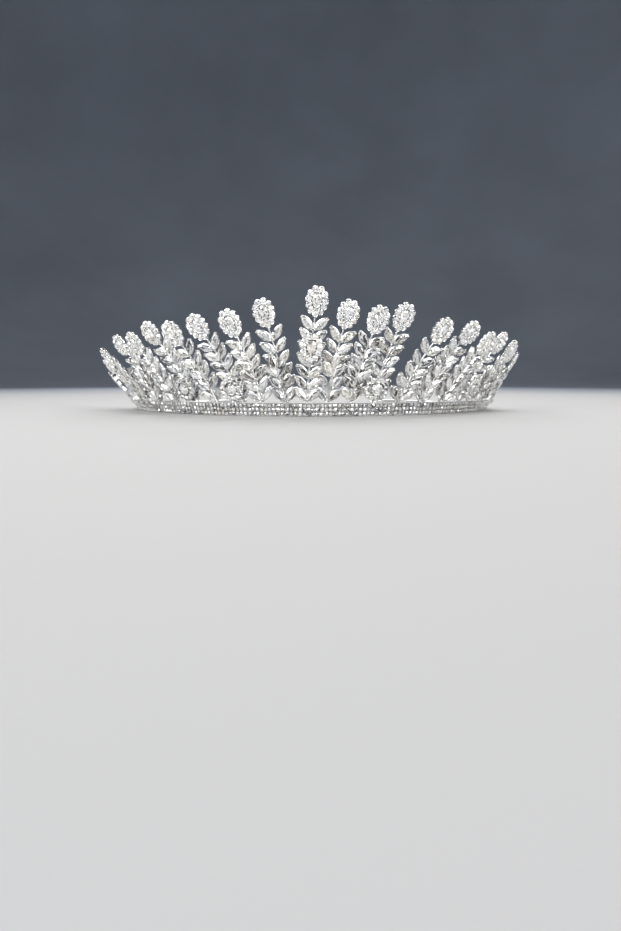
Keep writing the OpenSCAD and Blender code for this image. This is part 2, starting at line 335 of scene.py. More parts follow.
def petal_places(flower):
    """Middles of the petals round a flower, counted from the stem."""
    places = []
    for even in turns(flower.petals):
        a = even + PETAL_SHIFT * sin(2 * even)
        x = flower.width / 2 * sin(a) * (1 - PETAL_TAPER * cos(a))
        places.append(Vector((x, -flower.height / 2 * cos(a), 0)))
    return places


# Mesh tools


SMOOTH = radians(60)  # metal faces that meet at less than this shade as one surface


def new_template(build, *args):
    """A mesh in millimetres, made once and stamped many times."""
    bm = bmesh.new()
    build(bm, *args)
    mesh = bpy.data.meshes.new("template")
    bm.to_mesh(mesh)
    bm.free()
    return mesh


class Work:
    """A mesh under work, in millimetres."""

    def __init__(self):
        self.bm = bmesh.new()
        self.stamped = []

    def stamp(self, template, place):
        copy = template.copy()
        copy.transform(place)
        self.bm.from_mesh(copy)
        bpy.data.meshes.remove(copy)
        self.stamped.append(template)

    def finish(self, name, slot, materials, replaces=()):
        """Ends the work as a piece. Metal shades smooth, and a stone's facets stay flat."""
        mesh = bpy.data.meshes.new(name)
        self.bm.to_mesh(mesh)
        self.bm.free()
        mesh.transform(Matrix.Scale(MM, 4))
        for material in materials:
            mesh.materials.append(material)
        if slot == METAL:
            mesh.shade_smooth()
            mesh.set_sharp_from_angle(angle=SMOOTH)
        piece = bpy.data.objects.new(name, mesh)
        bpy.context.scene.collection.objects.link(piece)
        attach(piece, BODY)
        if replaces:
            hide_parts(*replaces)
        return piece


def only(geom, kind):
    """The vertices, edges or faces of an operator's mixed result."""
    return [g for g in geom if isinstance(g, kind)]


def edges_of(verts):
    """The edges that have both ends among the vertices."""
    inside = set(verts)
    return list(dict.fromkeys(e for v in verts for e in v.link_edges if inside.issuperset(e.verts)))


def verts_of(faces):
    return list(dict.fromkeys(v for f in faces for v in f.verts))


def outwards(bm):
    bmesh.ops.recalc_face_normals(bm, faces=bm.faces[:])


def raised(bm, verts, rise):
    bmesh.ops.translate(bm, verts=verts, vec=(0, 0, rise))


def inset(bm, faces, width, rise=0.0):
    bmesh.ops.inset_individual(bm, faces=faces, thickness=width, depth=rise, use_even_offset=True)


def spun(bm, geom, centre, axis, angle, steps, merge=False):
    """Turns vertices and edges round an axis, and gives back what stands at the end."""
    return bmesh.ops.spin(bm, geom=geom, cent=centre, axis=axis, dvec=(0, 0, 0), angle=angle,
                          steps=steps, use_merge=merge, use_duplicate=False)["geom_last"]


def painted(faces, material):
    for f in faces:
        f.material_index = material


def upward(face):
    face.normal_update()
    if face.normal.z < 0:
        face.normal_flip()
    return face


def lens_arc(long, wide):
    """Radius and half angle of each of the two arcs round a leaf shape."""
    radius = (long * long + wide * wide) / (4 * wide)
    return radius, asin(long / 2 / radius)


def lens_outline(bm, long, wide, steps=8):
    """A leaf outline from the origin up Y, of two arcs."""
    radius, half = lens_arc(long, wide)
    for side, start in ((-1, 0), (1, long)):
        centre = (side * (radius - wide / 2), long / 2, 0)
        vert = bmesh.ops.create_vert(bm, co=(0, start, 0))["vert"]
        spun(bm, vert, centre, (0, 0, 1), 2 * half, steps)
    bmesh.ops.remove_doubles(bm, verts=bm.verts[:], dist=1e-4)
    return upward(bmesh.ops.contextual_create(bm, geom=bm.edges[:])["faces"][0])


def circle_outline(bm, radius, segments):
    bmesh.ops.create_circle(bm, cap_ends=True, radius=radius, segments=segments)
    bm.faces.ensure_lookup_table()
    return upward(bm.faces[0])


PEAR_FULL = 0.65  # makes a pear outline as wide as asked at its widest place


def pear_point(wide, long, a):
    """A point of a pear outline with its tip at the bottom, at a turn a from the tip."""
    return Vector((PEAR_FULL * wide * sin(a) * sin(a / 2), -long / 2 * cos(a), 0))


def pear_outline(bm, wide, long, segments=17):
    """The outline with one point at the tip and the rest spaced well away from it."""
    face = circle_outline(bm, 1, segments)
    first = radians(48)
    for i, v in enumerate(face.verts):
        a = 0 if i == 0 else first + (2 * pi - 2 * first) * (i - 1) / (segments - 2)
        v.co = pear_point(wide, long, a)
    return upward(face)


# Cut stones


ROUGH = 20  # side of the block that a stone is cut from
MAIN_OUT = 1.06  # share of the way out where the main facets start, if steeper ones flank them
LOWER_BREAK = radians(5)  # how much steeper the flanking facets under the girdle are


def support_round(radius, count):
    """Lines that touch a round girdle: each a point and an outward direction."""
    outs = [Vector((cos(a), sin(a), 0)) for a in turns(count, 0.5)]
    return [(out * radius, out) for out in outs]


def support_lens(long, wide, count):
    """The same for a leaf-shaped girdle round the origin, with count lines a side."""
    radius, half = lens_arc(long, wide)
    lines = []
    for side in (1, -1):
        for i in range(count):
            t = half * (2 * (i + 0.5) / count - 1)
            out = Vector((side * cos(t), side * sin(t), 0))
            lines.append((out * radius - Vector((side * (radius - wide / 2), 0, 0)), out))
    return lines


def support_pear(wide, long, count):
    """The same for a pear-shaped girdle round the origin."""
    near = 0.01
    lines = []
    for a in turns(count, 0.5):
        run = pear_point(wide, long, a + near) - pear_point(wide, long, a - near)
        lines.append((pear_point(wide, long, a), Vector((run.y, -run.x, 0)).normalized()))
    return lines


def cut(bm, point, normal):
    """Saws off what lies past a plane and closes the cut with one facet."""
    made = bmesh.ops.bisect_plane(bm, geom=bm.verts[:] + bm.edges[:] + bm.faces[:], dist=1e-5,
                                  plane_co=point, plane_no=normal, clear_outer=True)
    rim = [e for e in only(made["geom_cut"], BMEdge) if e.is_boundary]
    if rim:
        bmesh.ops.edgeloop_fill(bm, edges=rim)


def cut_stone(bm, lines, width, crown, pavilion, table, girdle, breaks=None, ring=None):
    """A faceted stone with its girdle's middle on Z = 0. crown, pavilion and breaks, the steep
    facets next to the girdle, are slopes in degrees. table, the height of the flat top, girdle
    and ring, the border round the star that shows through the table, are shares of its width."""
    bmesh.ops.create_cube(bm, size=ROUGH)
    cut(bm, (0, 0, table * width), (0, 0, 1))
    for point, out in lines:
        cut(bm, point, out)
    slopes = [(1, radians(crown)), (-1, radians(pavilion))]
    facets = [(point, out, slopes) for point, out in lines]
    if breaks:
        flanks = [(1, radians(breaks)), (-1, radians(pavilion) + LOWER_BREAK)]
        facets = [(point * MAIN_OUT, out, slopes) for point, out in lines[::2]]
        facets += [(point, out, flanks) for point, out in lines]
    for point, out, pair in facets:
        for side, slope in pair:
            up = Vector((0, 0, side))
            cut(bm, point + up * girdle * width / 2, out * sin(slope) + up * cos(slope))
    top = max(bm.faces, key=lambda f: f.calc_center_median().z)
    if ring:
        inset(bm, [top], ring * width)
    bmesh.ops.poke(bm, faces=[top])


def round_stone(bm, diameter):
    cut_stone(bm, support_round(diameter / 2, 10), diameter,
              crown=36, pavilion=41, table=0.17, girdle=0.04)


def centre_stone(bm, diameter):
    cut_stone(bm, support_round(diameter / 2, 16), diameter,
              crown=33, pavilion=22, table=0.16, girdle=0.03, breaks=41, ring=0.13)


def leaf_stone(bm, long, wide):
    cut_stone(bm, support_lens(long, wide, 5), wide,
              crown=31, pavilion=33, table=0.19, girdle=0.04, breaks=40, ring=0.16)


def pear_stone(bm, wide, long):
    cut_stone(bm, support_pear(wide, long, 11), wide,
              crown=34, pavilion=31, table=0.16, girdle=0.04, ring=0.16)


# Wires and beads


def sweep(bm, verts, places):
    """Carries a closed ring of vertices from the first place to the last and closes its end."""
    edges = edges_of(verts)
    for here, there in zip(places, places[1:]):
        verts = only(bmesh.ops.extrude_edge_only(bm, edges=edges)["geom"], BMVert)
        edges = edges_of(verts)
        bmesh.ops.transform(bm, matrix=there @ here.inverted(), verts=verts)
    bmesh.ops.contextual_create(bm, geom=edges)
    outwards(bm)


def wire(bm, places, sides=8):
    """A round wire of radius 1 in each place's XY plane, so the places' scale is its radius."""
    ring = bmesh.ops.create_circle(bm, cap_ends=True, radius=1, segments=sides, matrix=places[0])
    sweep(bm, ring["verts"], places)


def along_y(place, radius):
    """Turns a place's Y into the wire's direction, at a radius."""
    return place @ turned(-pi / 2, "X") @ Matrix.Scale(radius, 4)


def bead(bm, radius, stretch=1.0, rise=1.0):
    bmesh.ops.create_icosphere(bm, subdivisions=1, radius=radius)
    bmesh.ops.scale(bm, vec=(1, stretch, rise), verts=bm.verts[:])


# Cups


BACK = -0.5  # height of a branch's flat back in its own plane
RIM = 0.5  # height of its rims
CUP_WALL = 0.3  # metal round the pear-shaped stones and the rosettes' centres
PLAIN, PAINTED_SHADE, SATIN = 0, 1, 2  # a casting's materials: polished, painted shade in the recesses, at the back


def wall_chain(bm, face, steps):
    """Carries a face through steps of (width, rise, material): no width is a plain extrusion."""
    for width, rise, material in steps:
        before = set(bm.faces)
        if width:
            inset(bm, [face], width, rise)
        else:
            old = face
            face = only(bmesh.ops.extrude_face_region(bm, geom=[face])["geom"], BMFace)[0]
            raised(bm, face.verts[:], rise)
            if old.is_valid:
                bmesh.ops.delete(bm, geom=[old], context="FACES_ONLY")
        painted(set(bm.faces) - before, material)
    return face


def open_cup(bm, outline, steps):
    """A cup with an open back: its outline's face is carried up over the rim, down again and
    through to the back."""
    raised(bm, bm.verts[:], BACK)
    floor = only(bmesh.ops.duplicate(bm, geom=[outline])["geom"], BMFace)[0]
    floor_edges = floor.edges[:]
    height = sum(rise for width, rise, material in steps)
    last = wall_chain(bm, outline, steps + [(0, -height, SATIN)])
    last_edges = last.edges[:]
    bmesh.ops.delete(bm, geom=[last, floor], context="FACES_ONLY")
    painted(bmesh.ops.bridge_loops(bm, edges=last_edges + floor_edges)["faces"], SATIN)
    bmesh.ops.remove_doubles(bm, verts=bm.verts[:], dist=1e-5)


def leaf_cup(bm, branch):
    open_cup(bm, lens_outline(bm, branch.leaf_l, branch.leaf_w), [
        (0, 0.84, PLAIN),
        (0.09, 0.12, PLAIN),
        (0.10, 0.04, PLAIN),
        (0.08, -0.10, PLAIN),
        # the walls down into the hollow under the stone are painted shade
        (0, -0.28, PAINTED_SHADE),
        (0.22, -0.16, PAINTED_SHADE),
    ])


def stone_cup(bm, outline, side, bevel, lip, hole, ledge, slope):
    """A cup with a bevelled rim and a ledge. side, bevel, hole and slope are heights, and lip and
    ledge are widths."""
    open_cup(bm, outline, [
        (0, side, PLAIN),
        (0.10, bevel, PLAIN),
        (lip, -0.06, PLAIN),
        # the hole and the ledge under the stone are painted shade
        (0, -hole, PAINTED_SHADE),
        (ledge, -slope, PAINTED_SHADE),
    ])


def petal_cup(bm, diameter):
    stone_cup(bm, circle_outline(bm, diameter / 2, 12),
              side=0.82, bevel=0.13, lip=0.12, hole=0.30, ledge=0.2, slope=0.10)


def pear_cup(bm, flower):
    stone_cup(bm, pear_outline(bm, flower.pear_w + 2 * CUP_WALL, flower.pear_l + 2 * CUP_WALL),
              side=0.90, bevel=0.12, lip=0.12, hole=0.34, ledge=0.2, slope=0.14)


def centre_cup(bm, diameter):
    stone_cup(bm, circle_outline(bm, diameter / 2 + CUP_WALL, 20),
              side=0.90, bevel=0.12, lip=0.14, hole=0.34, ledge=0.3, slope=0.14)


# Castings


GIRDLE = 0.42  # height of the girdles of the leaf stones and the rosettes' centres
PEAR_GIRDLE = 0.50
PETAL_GIRDLE = 0.40
CLAW_RISE = RIM + 0.06  # height of the claws of flowers and rosettes

# Beads and claws on a leaf: shape, place across it, place along it (from the tip where it is
# below zero), height over the rim
LEAF_BEADS = [
    ("grain", 0, -0.22, -0.04),
    ("claw", -0.40, -0.30, 0.02),
    ("claw", 0.40, -0.30, 0.02),
    ("grain", -0.40, 0.55, -0.02),
    ("grain", 0.40, 0.55, -0.02),
]

PETAL_BEAD_IN = 0.66  # from the gap between two petals in to its bead
HALO_BEADS = 16  # beads between a pear-shaped stone and its petals
HALO_WIDER = 1.25  # how much wider and longer than the stone their ring is
HALO_LONGER = 1.45
HALO_RISE = 0.40
PEAR_CLAWS = (0, 75, 130, 230, 285)  # turns of its claws from the tip, in degrees
CLAW_OUT = 0.1  # from a stone's edge out to its claws

STEM_FOOT = -0.4  # where a stem starts, below the band's top
STEM_STEP = 2  # about the length of a stem's steps
STEM_TAPER = (1.1, 0.8)  # its thickness at the foot and at the top, as shares of its diameter
POST_R = 0.6  # radius of the low flower's post
POST_UP = 1.3  # how far it stands above the flower's middle
POST_IN = 0.2  # how far it goes into the flower's back


def build_flower(work, kit, place):
    """A flower's metal: petal cups with beads between them, and the pear cup, halo and claws."""
    flower = kit.flower
    petals = petal_places(flower)
    for p, q in zip(petals, petals[1:] + petals[:1]):
        gap = (p + q) / 2
        spot = gap - gap.normalized() * PETAL_BEAD_IN
        work.stamp(kit.petal_cup, place @ moved(*p))
        work.stamp(kit.grain, place @ moved(spot.x, spot.y, RIM))
    work.stamp(kit.pear_cup, place)
    for a in turns(HALO_BEADS, 0.5):
        spot = pear_point(flower.pear_w + HALO_WIDER, flower.pear_l + HALO_LONGER, a)
        work.stamp(kit.halo_grain, place @ moved(spot.x, spot.y, HALO_RISE))
    for a in PEAR_CLAWS:
        spot = pear_point(flower.pear_w + 2 * CLAW_OUT, flower.pear_l + 2 * CLAW_OUT, radians(a))
        facing = turned(atan2(spot.y, spot.x) - pi / 2)
        work.stamp(kit.claw, place @ moved(spot.x, spot.y, CLAW_RISE) @ facing)


def build_stem(work, kit, b, place):
    """A stem that follows its branch's bow and gets thinner."""
    end = b.length if b.spray else b.length - kit.flower.height / 2
    steps = ceil(end / STEM_STEP)
    first, last = STEM_TAPER
    stem = []
    for i in range(steps + 1):
        share = i / steps
        radius = kit.branch.stem_d / 2 * (first + (last - first) * share)
        stem.append(along_y(b.at(STEM_FOOT + (end - STEM_FOOT) * share), radius))
    work.stamp(new_template(wire, stem), place)


def build_branch(work, kit, b, place):
    """A branch's metal: its stem, leaf cups and flowers."""
    build_stem(work, kit, b, place)
    for leaf in b.leaves(kit.branch):
        work.stamp(kit.leaf_cup, place @ leaf)
        for shape, x, y, z in LEAF_BEADS:
            spot = moved(x, y % kit.branch.leaf_l, RIM + z)
            work.stamp(getattr(kit, shape), place @ leaf @ spot)
    for f in b.flowers():
        build_flower(work, kit, place @ f)
    if len(b.flowers()) > 1:
        post = moved(b.bow(b.LOW_FLOWER_AT), b.LOW_FLOWER_AT + POST_UP)
        ends = (0, b.LOW_FLOWER_LIFT + BACK + POST_IN)
        rod = [lifted(post, z) @ Matrix.Scale(POST_R, 4) for z in ends]
        work.stamp(new_template(wire, rod), place)


ROSETTE_CLEAR = 0.3  # from the band's top to a rosette's lowest cups
ROSETTE_BEAD_IN = 0.85  # from its ring of cups in to the beads between them
ROSETTE_BEAD_RISE = 0.47
FOOT_X = 0.45  # from a rosette's middle line to each foot
FOOT_R = 0.42
FOOT_HEIGHTS = (-0.4, 0.6, 1.4)


def build_rosette(work, stones, kit, foot):
    """A rosette's cups, beads and claws round its middle, its stones and its two feet."""
    flower = kit.flower
    ring = flower.rosette_ring / 2
    middle = foot @ moved(0, ring + flower.rosette_petal_d / 2 + ROSETTE_CLEAR)
    work.stamp(kit.centre_cup, middle)
    stones.stamp(kit.centre_stone, lifted(middle, GIRDLE))
    for a in turns(flower.rosette_petals):
        petal = middle @ turned(a) @ moved(0, ring)
        work.stamp(kit.rosette_cup, petal)
        stones.stamp(kit.rosette_petal_stone, lifted(petal, PETAL_GIRDLE))
    gaps = [middle @ turned(a) for a in turns(flower.rosette_petals, 0.5)]
    for gap in gaps:
        work.stamp(kit.grain, gap @ moved(0, ring - ROSETTE_BEAD_IN, ROSETTE_BEAD_RISE))
    for gap in gaps[::2]:
        work.stamp(kit.claw, gap @ moved(0, flower.rosette_stone / 2 + CLAW_OUT, CLAW_RISE))
    for side in (-1, 1):
        leg = [along_y(moved(side * FOOT_X, y), FOOT_R) for y in FOOT_HEIGHTS]
        work.stamp(new_template(wire, leg), foot)


# The band


WINDOW_FRAME = 0.3  # metal left round each window in the band's back
WINDOW_DEPTH = 0.7
WINDOW_TAPER = 0.05  # how much its walls lean in
BAND_TURN = radians(18)  # turn of the band's stones
BAND_GIRDLE = 0.18  # height of their girdles over the floor of the recess
BAND_BEAD_RISE = 0.16  # height of the beads between them
BAND_BEAD_IN = 0.12  # from the rails in to the first and last beads
LOOP_PITCH = 1.66  # usual distance between the stones of an end loop
LOOP_SINK = 0.02  # how far they sit under its face, and its beads over it
LOOP_BEAD_Y = 0.585  # from its middle line to its beads
LOOP_CLEAR = 0.2  # how far the bars of an end loop stand clear of the floor
LOOP_ROOT = (-0.5, 1.55)  # where their middle lines start, inside the band's end
LOOP_EDGE = 0.25  # rounding of a bar's edges, as a share of half its size each way
LOOP_STEPS = 36


def field_pitch(band):
    """Distance between the rows of stones on the band."""
    return (band.height - 2 * band.rail) / band.rows


def field_columns(band):
    """How many columns of stones the band has."""
    middle = band_radius(band) + band.thickness + band.height / 2 * sin(band.slant)
    return round(2 * band.reach * middle / field_pitch(band))


def flat_bar(bm, band):
    """The bar, 1 long and 1 thick, with its face at Z = 0. Gives back the faces behind its stones."""
    pitch = field_pitch(band)
    lines = [0, band.rail] + [band.rail + pitch * (i + 1) for i in range(band.rows)] + [band.height]
    rows = len(lines) - 1
    bmesh.ops.create_grid(bm, x_segments=field_columns(band), y_segments=rows, size=0.5,
                          matrix=moved(0, 0.5))
    for v in bm.verts:
        v.co.y = lines[round(v.co.y * rows)]
    back = only(bmesh.ops.extrude_face_region(bm, geom=bm.faces[:])["geom"], BMFace)
    raised(bm, verts_of(back), -1)
    for f in bm.faces:
        f.normal_update()

    def behind_stones(z):
        """The faces at a height that lie between the rails."""
        middles = [(f, f.calc_center_median()) for f in bm.faces]
        return [f for f, m in middles if abs(m.z - z) < 0.01 and band.rail < m.y < band.height - band.rail]

    field = behind_stones(0)
    bmesh.ops.inset_region(bm, faces=field, thickness=0.02, depth=0)
    raised(bm, verts_of(field), -band.recess / band.thickness)
    # the sunken field behind the stones is painted shade
    painted(field, PAINTED_SHADE)
    painted(back, SATIN)
    return behind_stones(-1)


def bent_bar(bm, band):
    """The bar on its slanted curve, with its windows."""
    windows = flat_bar(bm, band)
    for v in bm.verts:
        angle = v.co.x * 2 * band.reach
        s = slant_at(band, angle)
        radius = band_radius(band) + band.thickness / cos(s) * (1 + v.co.z) + v.co.y * sin(s)
        v.co = around(angle, radius, v.co.y * cos(s))
    outwards(bm)
    inset(bm, windows, WINDOW_FRAME)
    inset(bm, windows, WINDOW_TAPER, -WINDOW_DEPTH)
    # the windows in the back are painted shade
    painted(windows, PAINTED_SHADE)


def pave_band(work, stones, kit):
    """The rows of stones on the band, and the beads at their corners."""
    band = kit.band
    pitch = field_pitch(band)
    columns = field_columns(band)
    for i in range(columns):
        angle = band.reach * (2 * (i + 0.5) / columns - 1)
        for row in range(band.rows):
            height = band.rail + pitch * (row + 0.5)
            spot = band_frame(band, angle, height, BAND_GIRDLE - band.recess)
            stones.stamp(kit.band_stone, spot @ turned(BAND_TURN))
    for i in range(columns + 1):
        angle = band.reach * (2 * i / columns - 1)
        for row in range(band.rows + 1):
            inside = min(max(pitch * row, BAND_BEAD_IN), pitch * band.rows - BAND_BEAD_IN)
            spot = band_frame(band, angle, band.rail + inside, BAND_BEAD_RISE - band.recess)
            work.stamp(kit.band_grain, spot)


def loop_frame(band, side):
    """The plane of an end loop: X away from the front, Y up its slant, Z out of its face."""
    level = -band_radius(band) - band.loop_t / cos(band.loop_slant) / 2
    place = (turned(side * band.reach) @ moved(0, level) @ turned(side * band.loop_turn)
             @ turned(pi / 2 + band.loop_slant, "X"))
    return place @ Matrix.Scale(-1, 4, (1, 0, 0)) if side < 0 else place


def loop_route(band, long):
    """A function from the distance along a loop's middle line to a place on it, and its length."""
    tip_x = long - band.loop_tip
    middle = band.loop_tip + band.loop_t / 2 * tan(band.loop_slant) + LOOP_CLEAR
    turn_r = (band.loop_tip + band.loop_slit) / 2
    root = Vector((*LOOP_ROOT, 0))
    shoulder = Vector((tip_x, turn_r, 0))
    straight = (shoulder - root).length
    lean = atan2(shoulder.y - root.y, shoulder.x - root.x)
    arc = pi * turn_r
    total = 2 * straight + arc

    def at(d):
        if d < straight:
            p = root.lerp(shoulder, d / straight)
            turn = lean
        elif d > straight + arc:
            p = root.lerp(shoulder, (total - d) / straight)
            p.y = -p.y
            turn = pi - lean
        else:
            a = (d - straight) / turn_r
            p = Vector((tip_x + turn_r * sin(a), turn_r * cos(a), 0))
            turn = -a
        return moved(p.x, p.y + middle) @ turned(turn)

    return at, total


def loop_bar(bm, band, long):
    """The bar of an end loop, in the loop's own plane."""
    at, total = loop_route(band, long)
    verts = bmesh.ops.create_grid(bm, x_segments=1, y_segments=1, size=1)["verts"]
    bmesh.ops.bevel(bm, geom=verts, offset=LOOP_EDGE, offset_type="OFFSET", segments=2, profile=0.5,
                    affect="VERTICES", material=-1)
    half = (band.loop_tip - band.loop_slit) / 2
    shape = turned(pi / 2, "Y") @ Matrix.Diagonal((band.loop_t / 2, half, 1, 1))
    places = [at(total * i / LOOP_STEPS) @ shape for i in range(LOOP_STEPS + 1)]
    bmesh.ops.transform(bm, matrix=places[0], verts=bm.verts[:])
    sweep(bm, bm.verts[:], places)


def build_loop(work, stones, kit, side, long):
    """An end loop's bar, with its row of stones and two beads between each pair."""
    band = kit.band
    place = loop_frame(band, side)
    bar = new_template(loop_bar, band, long)
    if side < 0:
        bar.flip_normals()
    work.stamp(bar, place)
    at, total = loop_route(band, long)
    count = round(total / LOOP_PITCH)
    face = band.loop_t / 2
    for i in range(count):
        stones.stamp(kit.loop_stone, place @ lifted(at(total * (i + 0.5) / count), face - LOOP_SINK))
        for y in (-LOOP_BEAD_Y, LOOP_BEAD_Y):
            spot = at(total * i / count) @ moved(0, y, face + LOOP_SINK)
            work.stamp(kit.band_grain, place @ spot)


# Materials


class Value:
    """A shader socket that takes part in Python sums."""

    def __init__(self, nodes, socket):
        self.nodes = nodes
        self.socket = socket

    def _maths(self, operation, a, b):
        return self.nodes.add("ShaderNodeMath", {"operation": operation}, {0: a, 1: b})

    def __add__(self, other):
        return self._maths("ADD", self, other)

    def __mul__(self, other):
        return self._maths("MULTIPLY", self, other)

    def __sub__(self, other):
        return self._maths("SUBTRACT", self, other)

    def __rsub__(self, other):
        return self._maths("SUBTRACT", other, self)

    __radd__ = __add__
    __rmul__ = __mul__


class Nodes:
    """A new material and its nodes."""

    def __init__(self, name):
        self.material = bpy.data.materials.new(name)
        self.material.use_nodes = True
        self.tree = self.material.node_tree
        self.shader = self.tree.nodes["Principled BSDF"]

    def add(self, kind, settings, inputs, output=0):
        """A node of a type, with its settings made before its sockets are set or linked."""
        node = self.tree.nodes.new(kind)
        for name, value in settings.items():
            if name == "stops":
                self._set_stops(node.color_ramp, value)
            else:
                setattr(node, name, value)
        for name, value in inputs.items():
            self.put(node.inputs[name], value)
        return Value(self, node.outputs[output])

    def _set_stops(self, ramp, stops):
        while len(ramp.elements) < len(stops):
            ramp.elements.new(1)
        for element, (position, shade) in zip(ramp.elements, stops):
            element.position = position
            element.color = (*shade, 1)

    def put(self, socket, value):
        """Links or sets a socket. A colour is given as three values."""
        if isinstance(value, Value):
            self.tree.links.new(value.socket, socket)
        else:
            socket.default_value = (*value, 1) if socket.type == "RGBA" else value

    def shade(self, **inputs):
        """Sets the main shader's sockets. A name's underscores stand for spaces."""
        for name, value in inputs.items():
            self.put(self.shader.inputs[name.replace("_", " ")], value)
        return self.material

    def coordinates(self):
        return self.add("ShaderNodeTexCoord", {}, {}, output="Object")

    def attribute(self, name):
        return self.add("ShaderNodeAttribute", {"attribute_name": name}, {}, output="Fac")

    def noise(self, scale, detail):
        return self.add("ShaderNodeTexNoise", {},
                        {"Vector": self.coordinates(), "Scale": scale, "Detail": detail})

    def mix(self, factor, a, b, blend="MIX"):
        return self.add("ShaderNodeMix", {"data_type": "RGBA", "blend_type": blend},
                        {"Factor": factor, 6: a, 7: b}, output=2)

    def red(self, shade):
        return self.add("ShaderNodeSeparateColor", {}, {"Color": shade})

    def vector(self, operation, *values, output=0):
        return self.add("ShaderNodeVectorMath", {"operation": operation}, dict(enumerate(values)), output)

    def share(self, value, low, high, top=1.0, **settings):
        """How far a value has come from low to high, from 0 to top."""
        return self.add("ShaderNodeMapRange", settings,
                        {"Value": value, "From Min": low, "From Max": high, "To Max": top})


def darker(shade, share):
    return [c * share for c in shade]


def polished_metal(name, shade, roughness):
    """Bright plating over a casting, faintly cloudy and with a fine grain."""
    n = Nodes(name)
    cloud = n.noise(scale=900.0, detail=3.0)
    grain = n.noise(scale=5200.0, detail=2.0)
    n.shade(
        Base_Color=n.mix(cloud, darker(shade, 0.86), shade),
        Metallic=1.0,
        Roughness=roughness + 0.10 * cloud,
        Normal=n.add("ShaderNodeBump", {}, {"Height": grain, "Strength": 0.18, "Distance": 0.00008}),
    )


PAINTED_FACET_LIGHT = [  # stops of the painted light and shade, from the darkest facets to the brightest
    (0.0, (0.02, 0.02, 0.022)),
    (0.28, (0.12, 0.12, 0.13)),
    (0.44, (0.9, 0.9, 0.91)),
    (1.0, (1, 1, 1)),
]
SCATTER = 997.0  # spreads close values of painted light over the noise, far from each other


def cut_crystal(name, look):
    """Clear foiled stone: painted patches of light and shade inside it, painted light and shade for each
    facet and a tint for each stone. The foil shows as a mirror in some facets."""
    n = Nodes(name)
    tone = n.attribute("tone")
    hue = n.attribute("hue")
    patches = n.add("ShaderNodeTexVoronoi", {"feature": "F1"},
                    {"Vector": n.coordinates(), "Scale": 1900.0}, output="Color")
    facets = n.add("ShaderNodeTexWhiteNoise", {"noise_dimensions": "1D"},
                   {"W": tone * SCATTER}, output="Color")
    patch = n.red(patches)
    facet = n.red(facets)
    tint = n.mix(n.share(hue, 0.6, 1.0) * 0.5, look.stone, look.warm)
    tint = n.mix(n.share(1 - hue, 0.6, 1.0) * 0.35, tint, look.cool)
    # painted light and shade: each facet and patch is coloured from black to white
    painted_facets = n.add("ShaderNodeValToRGB", {"stops": PAINTED_FACET_LIGHT}, {"Fac": tone * 0.75 + patch * 0.25})
    normal = n.add("ShaderNodeNewGeometry", {}, {}, output="Normal")
    lean = n.vector("MULTIPLY_ADD", facets, (0.5, 0.5, 0.5), (-0.35, -0.35, -0.35))
    sway = n.vector("MULTIPLY_ADD", patches, (0.2, 0.2, 0.2), lean)
    n.shade(
        Base_Color=n.mix(1.0, painted_facets, tint, "MULTIPLY"),
        Metallic=n.share(facet * 0.7 + patch * 0.3, 0.5, 0.6, top=0.85),
        Roughness=0.05,
        IOR=2.2,
        Transmission_Weight=0.2,
        Normal=n.vector("NORMALIZE", n.vector("ADD", normal, sway)),
    )


def finishes(context):
    """The materials of the castings, the hoop's wire and the stones, made once."""
    look = context.scene.tiara_look
    made = bpy.data.materials
    if "rhodium" not in made:
        polished_metal("rhodium", look.metal, look.polish)
        # dark plating painted as shade for the hollows
        polished_metal("rhodium_recess", look.recess, 0.35)
        polished_metal("rhodium_satin", darker(look.metal, 0.7), 0.36)
        polished_metal("rhodium_wire", look.metal, 0.08)
        cut_crystal("crystal", look)
    castings = [made["rhodium"], made["rhodium_recess"], made["rhodium_satin"]]
    return {"castings": castings, "wire": [made["rhodium_wire"]], "stones": [made["crystal"]]}


TABLE_PAINTED_LIGHT = (0.05, 0.85)  # range of the painted light of the stones' flat tables, kept darker as painted shade
FACET_PAINTED_LIGHT = (0.35, 1.00)  # and of their slanted facets
TABLE_RISE = 0.95  # a facet is part of the table where its normal's Z is above this
STONE_SHIFT = 0.35  # most by which all the painted light of one stone is shifted
FLOWER_PAINTED_LIFT = 0.25  # how much lighter the flowers' stones are painted, with half that shift


def add_painted_light(work, piece, seed, light=()):
    """Gives each stone a random hue and each facet a random painted light, darker on the flat tables as
    painted shade.
    """
    rng = random.Random(seed)
    painted_lights = []
    hues = []
    for stone in work.stamped:
        hue = rng.random()
        shift = rng.uniform(-STONE_SHIFT, STONE_SHIFT)
        if stone in light:
            shift = shift / 2 + FLOWER_PAINTED_LIFT
        for facet in stone.polygons:
            low, high = TABLE_PAINTED_LIGHT if facet.normal.z > TABLE_RISE else FACET_PAINTED_LIGHT
            painted_lights.append(rng.uniform(low, high) + shift)
            hues.append(hue)
    for name, values in (("tone", painted_lights), ("hue", hues)):
        layer = piece.data.attributes.new(name, "FLOAT", "FACE")
        layer.data.foreach_set("value", values)


